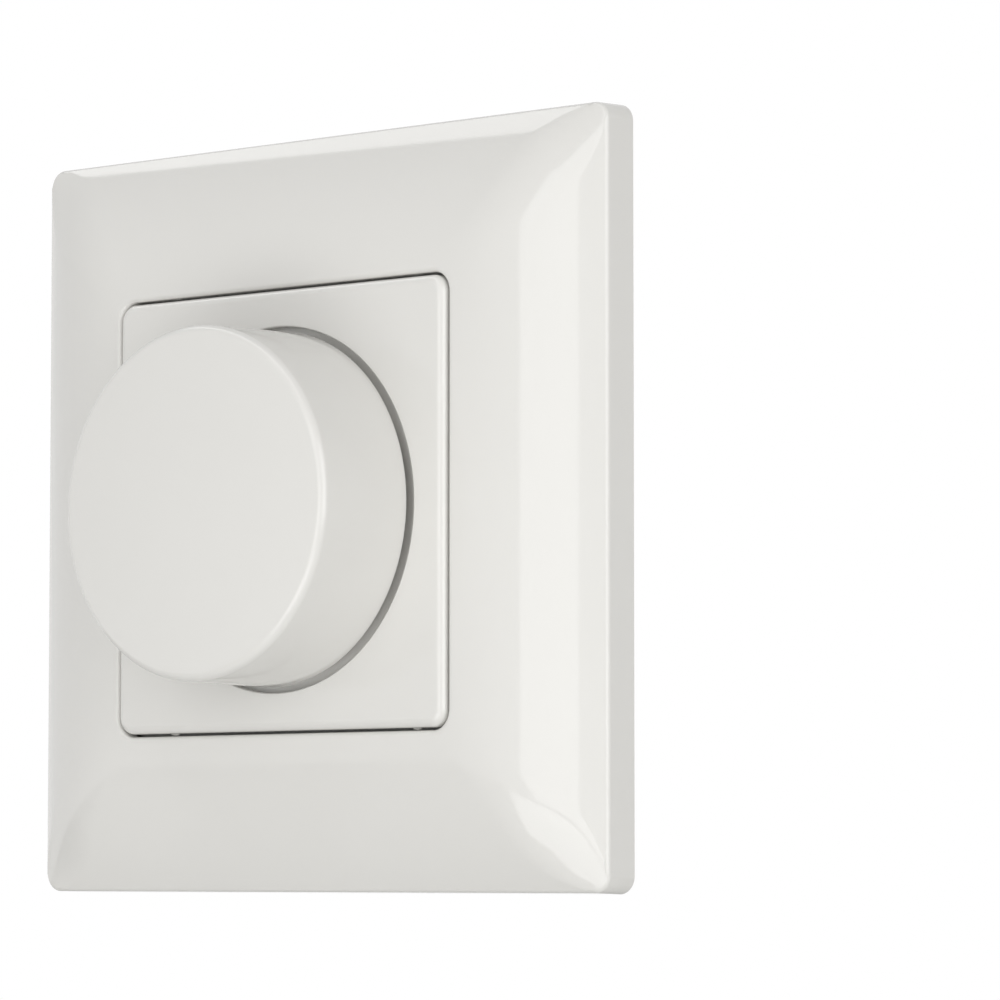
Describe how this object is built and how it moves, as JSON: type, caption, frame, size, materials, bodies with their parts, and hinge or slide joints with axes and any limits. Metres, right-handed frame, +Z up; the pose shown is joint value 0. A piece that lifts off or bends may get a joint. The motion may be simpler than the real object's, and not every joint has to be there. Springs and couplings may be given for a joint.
{
  "type": "rotary dimmer switch",
  "caption": "Square wall-mounted rotary dimmer with an arched, mitred frame, a flat centre plate and a large push-and-turn knob.",
  "frame": {"origin": "on the wall plane behind the middle of the knob", "axes": "+X to the right and +Z up as the switch hangs, +Y into the wall, the front faces -Y"},
  "size_m": [0.086, 0.0255, 0.086],
  "materials": {
    "frame": "semi-gloss white",
    "centre_plate": "semi-gloss white",
    "knob": "semi-gloss white",
    "tray": "matt light grey",
    "board": "green solder mask",
    "chip": "matt black",
    "metal_can": "satin",
    "dark_plastic": "matt black",
    "cell_steel": "satin",
    "spring_steel": "bright",
    "die_cast": "cast zinc",
    "plated_steel": "nickel plated",
    "screw_steel": "zinc plated",
    "terminal_brass": "tinned",
    "shaft_metal": "turned",
    "rotor_plastic": "natural"
  },
  "bodies": {
    "case": {"frame": "frame", "centre_plate": "centre_plate", "base_tray": "tray", "front_cover": "tray", "cover_screw_1": "screw_steel", "cover_screw_2": "screw_steel", "cover_screw_3": "screw_steel", "cover_screw_4": "screw_steel", "circuit_board": "board", "radio_chip": "chip", "crystal": "metal_can", "battery_holder": "dark_plastic", "battery_cell": "cell_steel", "contact_negative": "spring_steel", "contact_positive": "spring_steel", "encoder_housing": "dark_plastic", "encoder_terminal_1": "terminal_brass", "encoder_terminal_2": "terminal_brass", "encoder_terminal_3": "terminal_brass", "encoder_terminal_4": "terminal_brass", "encoder_terminal_5": "terminal_brass", "encoder_bushing": "die_cast", "bushing_washer": "plated_steel", "bushing_nut": "plated_steel", "detent_spring": "spring_steel", "snap_dome": "spring_steel"},
    "rotor": {"encoder_rotor": "rotor_plastic"},
    "handle": {"knob": "knob", "knob_clip": "spring_steel", "encoder_shaft": "shaft_metal"},
    "plunger": {"switch_plunger": "rotor_plastic"}
  },
  "joints": [
    {"name": "knob_turn", "type": "hinge", "parent": "case", "child": "rotor", "pos_m": [0, -0.0049, 0], "axis": [0, -1, 0], "continuous": true},
    {"name": "knob_push", "type": "slide", "parent": "rotor", "child": "handle", "axis": [0, 1, 0], "range_m": [0, 0.0004], "stiffness_N_per_m": 8000, "springref_m": -0.0002, "deforming": ["snap_dome"]},
    {"name": "plunger_push", "type": "slide", "parent": "case", "child": "plunger", "axis": [0, 1, 0], "range_m": [0, 0.0004]}
  ],
  "couplings": [
    {"joint": "plunger_push", "follows": "knob_push", "ratio": 1}
  ]
}
